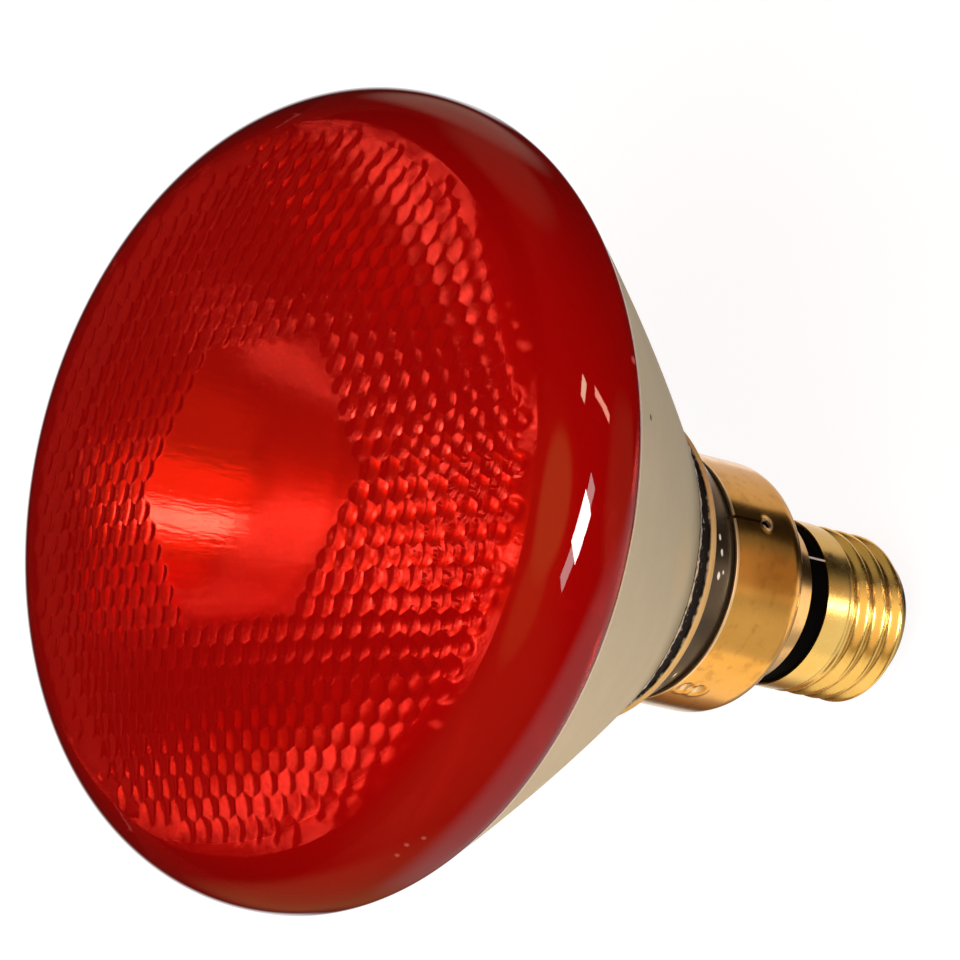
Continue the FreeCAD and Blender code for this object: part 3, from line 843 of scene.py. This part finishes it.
def contact_brass():
    """Stamped brass, scuffed by the holder's tongue."""
    finish = Finish("contact_brass")
    scuff, cloud = finish.grain(0.4, 3, (1, 8, 1)), finish.grain(3, 3)
    base = finish.blend(cloud, colour(0.55, 0.33, 0.10), colour(0.68, 0.46, 0.17))
    base = finish.blend(finish.step(scuff, 0.55, 0.7) * 0.5, base, colour(0.35, 0.2, 0.06))
    return finish.shade(Base_Color=base, Metallic=1.0, Roughness=0.25 + scuff * 0.2,
                        Normal=finish.bump(scuff, 0.01))


def dull_solder():
    """Solder with a frosted skin."""
    finish = Finish("dull_solder")
    frost = finish.grain(0.3, 4)
    base = finish.blend(frost, colour(0.32, 0.32, 0.31), colour(0.55, 0.55, 0.54))
    return finish.shade(Base_Color=base, Metallic=1.0, Roughness=0.35 + frost * 0.25,
                        Normal=finish.bump(frost, 0.02))


def bright_wire():
    """Nickel-plated wire and sheet."""
    finish = Finish("bright_wire")
    draw = finish.grain(0.2, 2, (1, 1, 10))
    base = finish.blend(draw, colour(0.86, 0.85, 0.82), colour(0.95, 0.94, 0.92))
    return finish.shade(Base_Color=base, Metallic=0.75, Roughness=0.25 + draw * 0.15)


def tungsten():
    """Drawn tungsten, dark grey."""
    finish = Finish("tungsten")
    grain = finish.grain(0.15, 3)
    base = finish.blend(grain, colour(0.22, 0.22, 0.23), colour(0.38, 0.38, 0.39))
    return finish.shade(Base_Color=base, Metallic=1.0, Roughness=0.3 + grain * 0.2)


def clear_glass():
    """Clear tube glass."""
    finish = Finish("clear_glass")
    wave = finish.grain(2, 2)
    base = finish.blend(wave, colour(0.92, 0.95, 0.94), colour(0.98, 0.99, 0.98))
    return finish.shade(Base_Color=base, Transmission_Weight=1.0, Roughness=0.02, IOR=1.5,
                        Normal=finish.bump(wave, 0.02))


# The lamp's pieces

black, wire = black_glass(), bright_wire()

stand_for("lens", piece(
    "red_lens", lens_shape(), [red_glass(), clear_lens_glass()], lens_zone, LENS_CREASE))
bowl = stand_for("reflector", piece(
    "mirror_bowl", lathe(bowl_profile(), BOWL_COLUMNS, ragged), [bowl_coat(), bowl_mirror()], bowl_zone))
skirt = stand_for("cap_skirt", piece("brass_skirt", skirt_shape(), [skirt_brass()]))
stand_for("insulator_ring", piece(
    "black_ring", lathe(ring_profile(), INSULATOR_COLUMNS), [black]))
shell = stand_for("screw_shell", piece("thread_shell", shell_shape(), [shell_brass()]))
stand_for("base_insulator", piece(
    "black_button", lathe(button_profile(), INSULATOR_COLUMNS), [black]))
stand_for("centre_contact", piece(
    "end_contact", lathe(contact_profile(), CONTACT_COLUMNS), [contact_brass()]))
stand_for("contact_solder", piece(
    "solder_drop", lathe(solder_profile(), SOLDER_COLUMNS), [dull_solder()]))

for node, finish in {"filament": tungsten(), "lead_post_1": wire, "lead_post_2": wire, "ferrule_1": wire,
                     "ferrule_2": wire, "centre_lead": wire, "side_lead": wire,
                     "exhaust_tip": clear_glass()}.items():
    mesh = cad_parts[node].data
    mesh.materials.clear()
    mesh.materials.append(finish)


# Studio, in metres. A direction is given in the picture: to its right, up it and towards the camera.
CAMERA_PLACE = Vector((0, -0.6884, 0.7087))
CAMERA_AIM = Vector((0.00775, -0.0001, 0.0881))
CAMERA_ROLL = 76.48
CAMERA_LENS = 235.6
CAMERA_LEVEL = (CAMERA_AIM - CAMERA_PLACE).to_track_quat("-Z", "Y").to_matrix()
CAMERA_TURN = CAMERA_LEVEL @ Matrix.Rotation(-math.radians(CAMERA_ROLL), 3, "Z")
LAMP_MIDDLE = Vector((0, 0, 0.085))
LIGHT_DISTANCE = 1.2
ALONG_RIM = (-0.27, -0.41, 0.2)
FLOOR_REACH = 6.0
FLOOR_DROP = 0.0002


def way_to(right, up, near):
    """Direction from the lamp, given in the picture."""
    return (CAMERA_TURN @ Vector((right, up, near))).normalized()


def softbox(name, way, size, level, tint=(1, 1, 1), along=(1, 0, 0),
            mirrored=True, matt=True, through=True, only=()):
    """Area light of a brightness, facing the lamp from one direction, with its length along another.

    Its energy is 4 times its area for each unit of brightness. It can be kept out of mirror images, off matt
    surfaces or out of what is seen through glass, and it can light only some pieces.
    """
    data = bpy.data.lights.new(name, "AREA")
    data.shape = "RECTANGLE"
    data.size, data.size_y = size
    data.energy = 4 * size[0] * size[1] * level
    data.color = tint
    made = bpy.data.objects.new(name, data)
    facing, length = way_to(*way), way_to(*along)
    length = (length - facing * length.dot(facing)).normalized()
    made.location = LAMP_MIDDLE + facing * LIGHT_DISTANCE
    made.rotation_euler = Matrix((length, facing.cross(length), facing)).transposed().to_euler()
    made.visible_camera = False
    made.visible_glossy = mirrored
    made.visible_diffuse = matt
    made.visible_transmission = through
    bpy.context.scene.collection.objects.link(made)
    if only:
        lit = bpy.data.collections.new(name + "_lights")
        for lit_piece in only:
            lit.objects.link(lit_piece)
        made.light_linking.receiver_collection = lit


def rim_lights():
    """Lamps that the glossy rim mirrors: the bright streak, its spill and two small cards."""
    softbox("rim_lamp", (0.64, -0.02, 0.77), (0.3, 0.24), 24.0, along=ALONG_RIM)
    softbox("rim_lamp_spill", (0.62, -0.04, 0.78), (0.62, 0.16), 4.0, along=ALONG_RIM)
    softbox("tan_card", (0.53, 0.53, 0.66), (0.13, 0.09), 9.0, (1.0, 0.8, 0.55), along=ALONG_RIM)
    softbox("pink_card", (0.79, 0.42, 0.44), (0.36, 0.05), 10.0, (1.0, 0.5, 0.36), along=(0.15, -0.13, -0.15))


def lens_lights():
    """Lamps that show only through the lens, in its mirror, and the dim red light in its window."""
    for name, way, size, level in (
            ("flame_lamp", (0.18, 0.23, 0.96), 0.14, 10.0),
            ("crown_lamp", (-0.31, -0.50, 0.81), 0.16, 18.0),
            ("foot_lamp", (-0.09, 0.57, 0.82), 0.16, 13.0),
            ("dot_lamp", (-0.02, 0.44, 0.90), 0.14, 4.0),
            ("low_dot_lamp", (-0.04, 0.10, 0.99), 0.14, 9.0)):
        softbox(name, way, (size, size), level, mirrored=False, matt=False)
    for name, way, size, level, tint in (
            ("window_glow", (0.1, 0.17, 0.98), (0.55, 0.55), 1.1, (1.0, 0.16, 0.04)),
            ("window_dim", (-0.1, 0.04, 1.0), (0.5, 0.4), 1.1, (1.0, 0.04, 0.01)),
            ("window_dusk", (0.0, 0.6, 0.8), (0.9, 0.5), 1.0, (1.0, 0.1, 0.02))):
        softbox(name, way, size, level, tint, mirrored=False)


def fill_lights():
    """Soft light on matt surfaces: from the camera's side, from behind, and a warm one under the cone."""
    softbox("lens_fill", (-0.45, -0.2, 0.87), (0.9, 0.9), 5.4, mirrored=False, through=False)
    softbox("back_fill", (0, 0, -1), (0.8, 0.8), 4.5, mirrored=False, through=False)
    softbox("cone_low", (-0.1, -0.97, 0.2), (0.8, 0.8), 5.0, (1.0, 0.68, 0.46), mirrored=False, through=False,
            only=[bowl])


def cap_lights():
    """Pale cards round the cap, which only its brass mirrors."""
    brass = [shell, skirt]
    side, upright = (0.85, -0.5, 0.15), (0, 1, 0)
    softbox("shell_glint", (1.0, -0.05, 0.07), (0.2, 0.16), 12.0, only=[shell])
    softbox("shell_up", (-0.2, 0.85, 0.2), (1.3, 1.3), 0.3, (1.0, 0.9, 0.7), only=[shell])
    softbox("shell_low", (-0.35, -0.85, 0.3), (1.6, 1.5), 0.9, (1.0, 0.93, 0.8), only=[shell])
    softbox("cap_front", (0.0, 0.1, 1.0), (1.4, 1.6), 0.5, (1.0, 0.95, 0.85), only=brass)
    softbox("cap_right", (1.0, 0.12, 0.05), (0.8, 0.8), 0.2, (1.0, 0.92, 0.82), only=brass)
    softbox("cap_top", (0.35, 0.6, -0.72), (1.05, 1.05), 0.6, (1.0, 0.9, 0.8), only=brass)
    softbox("cap_side", side, (1.0, 1.0), 0.4, (1.0, 0.95, 0.88), upright, only=[shell])
    softbox("skirt_side", side, (1.0, 1.0), 0.15, (1.0, 0.95, 0.88), upright, only=[skirt])
    softbox("collar_side", (0.9, -0.2, -0.45), (0.5, 0.5), 0.7, (1.0, 0.92, 0.8), only=[skirt])
    softbox("cap_under", (0.38, -0.84, -0.4), (0.8, 0.8), 0.6, (1.0, 0.85, 0.55), only=brass)


def studio_world():
    """Dim room with soft bright patches, and a white backdrop that the camera, metal and glass see."""
    world = bpy.data.worlds.new("studio")
    bpy.context.scene.world = world
    room = Nodes(world)
    seen = room.node("ShaderNodeTexCoord", output="Generated")

    def nearness(way):
        """Cosine of the angle between a ray and a direction."""
        sides = {0: seen, 1: way_to(*way)}
        return room.node("ShaderNodeVectorMath", {"operation": "DOT_PRODUCT"}, sides, "Value")

    light = colour(0.014, 0.012, 0.01)
    for way, edge, core, tint in (
            ((0.0, 0.05, 1.0), 0.8, 0.95, colour(0.35, 0.07, 0.02)),
            ((0.0, -0.8, 0.6), 0.6, 0.95, colour(0.2, 0.12, 0.05)),
            ((-0.03, -0.2, 0.98), 0.955, 0.985, colour(0.6, 0.3, 0.08)),
            ((0.12, 0.15, 0.98), 0.94, 0.975, colour(0.9, 0.55, 0.14)),
            ((1.0, 0.06, 0.1), 0.93, 0.985, colour(0.3, 0.15, 0.07)),
            ((-0.05, -0.85, -0.5), 0.8, 0.93, colour(0.35, 0.18, 0.07)),
            ((0.7, -0.6, -0.4), 0.7, 0.88, colour(0.6, 0.58, 0.55)),
            ((0.12, 0.97, -0.2), 0.92, 0.98, colour(0.2, 0.13, 0.08)),
            ((0.08, 0.73, -0.68), 0.94, 0.985, colour(0.45, 0.33, 0.25))):
        light = room.blend(room.step(nearness(way), edge, core), light, tint)
    camera, mirrored, through = (room.node("ShaderNodeLightPath", output=ray)
                                 for ray in ("Is Camera Ray", "Is Glossy Ray", "Is Transmission Ray"))
    backdrop = camera + (mirrored + through) * room.step(nearness((0, 0, -1)), 0.9, 0.97)
    room.feed(room.tree.nodes["Background"].inputs["Color"], room.blend(backdrop, light, colour(1, 1, 1)))


def studio_floor():
    """Pale floor under the lamp: nearly white to the camera, with a faint shadow, and clear from below."""
    corners = [(FLOOR_REACH * x, FLOOR_REACH * y, -FLOOR_DROP)
               for x, y in ((-1, -1), (1, -1), (1, 1), (-1, 1))]
    mesh = bpy.data.meshes.new("floor")
    mesh.from_pydata(corners, [], [(0, 1, 2, 3)])
    made = bpy.data.objects.new("floor", mesh)
    bpy.context.scene.collection.objects.link(made)
    finish = Finish("pale_floor")
    finish.shade(Base_Color=colour(0.16, 0.16, 0.16), Roughness=1.0, Specular_IOR_Level=0.0,
                 Emission_Color=colour(1, 1, 1), Emission_Strength=0.92)
    below = finish.node("ShaderNodeNewGeometry", output="Backfacing")
    mesh.materials.append(finish.mix(below, finish.node("ShaderNodeBsdfTransparent")))
    made.visible_glossy = False
    made.visible_diffuse = False
    made.visible_shadow = False


def photo_camera():
    """Camera at the photograph's viewing angle, rolled so that the lamp's axis lies across the picture."""
    data = bpy.data.cameras.new("photo_camera")
    data.lens = CAMERA_LENS
    data.sensor_width = 36.0
    data.clip_end = 30.0
    made = bpy.data.objects.new("photo_camera", data)
    made.matrix_world = Matrix.Translation(CAMERA_PLACE) @ CAMERA_TURN.to_4x4()
    bpy.context.scene.collection.objects.link(made)
    bpy.context.scene.camera = made


bpy.context.scene.view_settings.view_transform = "Standard"
studio_world()
studio_floor()
rim_lights()
lens_lights()
fill_lights()
cap_lights()
photo_camera()
